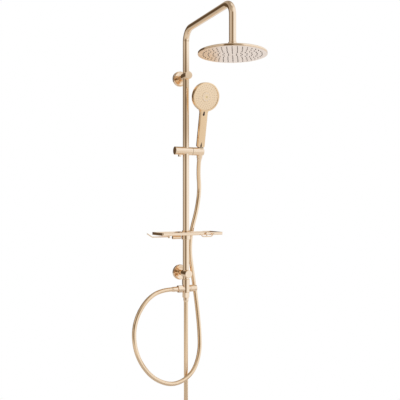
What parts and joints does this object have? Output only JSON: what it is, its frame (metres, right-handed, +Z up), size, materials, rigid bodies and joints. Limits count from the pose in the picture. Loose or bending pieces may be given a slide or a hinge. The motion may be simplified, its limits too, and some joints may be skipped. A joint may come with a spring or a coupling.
{
  "type": "rainfall shower column",
  "caption": "Wall-mounted rainfall shower column in polished rose gold: riser with an overhead arm and round rain head, sliding hand shower on a hose, diverter and a sliding shelf.",
  "frame": {"origin": "centre of the lower wall bracket's back face, on the wall", "axes": "+Y into the wall, +Z up along the riser, +X to the right when facing the wall"},
  "size_m": [0.3207, 0.5, 1.359],
  "materials": {
    "gold_brass": "polished rose gold plating",
    "gold_steel": "polished rose gold plating",
    "gold_abs": "polished rose gold plating",
    "gold_hose": "glossy metallic cover",
    "dark_plastic": "satin",
    "white_nylon": "satin",
    "grey_rubber": "matte",
    "black_rubber": "matte",
    "steel": "bright",
    "plain_brass": "machined"
  },
  "bodies": {
    "column": {"riser_tube": "gold_steel", "arm_tube": "gold_steel", "tube_joiner": "white_nylon", "riser_o_rings": "black_rubber", "upper_wall_base": "gold_brass", "lower_wall_base": "gold_brass", "wall_flanges": "gold_brass", "bracket_posts": "gold_brass", "riser_clamps": "gold_brass", "clamp_liners": "white_nylon", "post_grub_screws": "steel", "ball_connector": "gold_brass", "riser_nut": "gold_brass", "diverter_body": "gold_brass", "diverter_cartridge": "dark_plastic", "shower_hose_nut": "gold_brass", "shower_hose_ferrule": "gold_brass", "supply_nuts": "gold_brass", "supply_ferrules": "gold_brass", "hose_washers": "black_rubber", "supply_hose": "gold_hose", "shower_hose": "gold_hose"},
    "diverter_knob": {"diverter_knob": "gold_brass", "diverter_spindle": "plain_brass", "knob_screw": "steel", "knob_cap": "gold_brass"},
    "slider": {"slider_body": "gold_abs", "slider_end_cap": "gold_abs", "slider_liner": "white_nylon", "brake_spring": "steel", "holder_pivot": "steel", "pivot_washer": "white_nylon"},
    "release_button": {"release_button": "gold_abs"},
    "brake_shoe": {"brake_shoe": "white_nylon"},
    "holder": {"handset_holder": "gold_abs"},
    "handset": {"handset_shell": "gold_abs", "handset_inlet": "dark_plastic", "cone_nut": "gold_brass", "cone_ferrule": "gold_brass", "cone_washer": "black_rubber", "flow_plate": "dark_plastic", "handset_face": "gold_abs", "handset_nozzle_mat": "grey_rubber", "spray_hub": "gold_abs", "hub_screw": "steel"},
    "spray_selector": {"handset_bezel": "gold_abs"},
    "shelf": {"shelf_tray": "gold_abs", "shelf_collar": "gold_abs", "shelf_liner": "white_nylon", "shelf_hook": "gold_steel", "shelf_side_hook": "gold_steel", "hook_screws": "steel"},
    "shelf_lock": {"shelf_knob": "gold_brass", "shelf_lock_screw": "steel"},
    "ball_seat": {"ball_seat": "white_nylon"},
    "rain_head": {"rain_head_shell": "gold_abs", "rain_face_plate": "gold_abs", "rain_nozzle_mat": "grey_rubber", "rain_gasket": "black_rubber", "ball_collar": "gold_abs"}
  },
  "joints": [
    {"name": "diverter_turn", "type": "hinge", "parent": "column", "child": "diverter_knob", "pos_m": [0.029, -0.057, -0.053], "axis": [1, 0, 0], "range_deg": [-90, 90]},
    {"name": "slider_slide", "type": "slide", "parent": "column", "child": "slider", "axis": [0, 0, 1], "range_m": [-0.15, 0.15], "deforming": ["shower_hose"]},
    {"name": "release_press", "type": "slide", "parent": "slider", "child": "release_button", "axis": [0, 0, 1], "range_m": [0, 0.002], "stiffness_N_per_m": 400, "springref_m": -0.001},
    {"name": "brake_slide", "type": "slide", "parent": "slider", "child": "brake_shoe", "axis": [1, 0, 0], "range_m": [-0.0006, 0], "deforming": ["brake_spring"]},
    {"name": "holder_tilt", "type": "hinge", "parent": "slider", "child": "holder", "pos_m": [0.0445, -0.057, 0.431], "axis": [1, 0, 0], "range_deg": [-4, 25], "deforming": ["shower_hose"]},
    {"name": "handset_lift", "type": "slide", "parent": "holder", "child": "handset", "axis": [0, -0.2215, 0.9751], "range_m": [0, 0.04], "deforming": ["shower_hose"]},
    {"name": "selector_turn", "type": "hinge", "parent": "handset", "child": "spray_selector", "pos_m": [0.055, -0.09976, 0.6192], "axis": [0, -0.9751, -0.2215], "range_deg": [-30, 30]},
    {"name": "shelf_slide", "type": "slide", "parent": "column", "child": "shelf", "axis": [0, 0, 1], "range_m": [-0.09, 0.06]},
    {"name": "shelf_lock_turn", "type": "hinge", "parent": "shelf", "child": "shelf_lock", "pos_m": [-0.04, -0.057, 0.128], "axis": [-1, 0, 0], "range_deg": [0, 360]},
    {"name": "head_pitch", "type": "hinge", "parent": "column", "child": "ball_seat", "pos_m": [0, -0.395, 0.706], "axis": [1, 0, 0], "range_deg": [-10, 10]},
    {"name": "head_roll", "type": "hinge", "parent": "ball_seat", "child": "rain_head", "pos_m": [0, -0.395, 0.706], "axis": [0, 1, 0], "range_deg": [-10, 10]}
  ],
  "couplings": [
    {"joint": "brake_slide", "follows": "release_press", "ratio": -0.3}
  ]
}
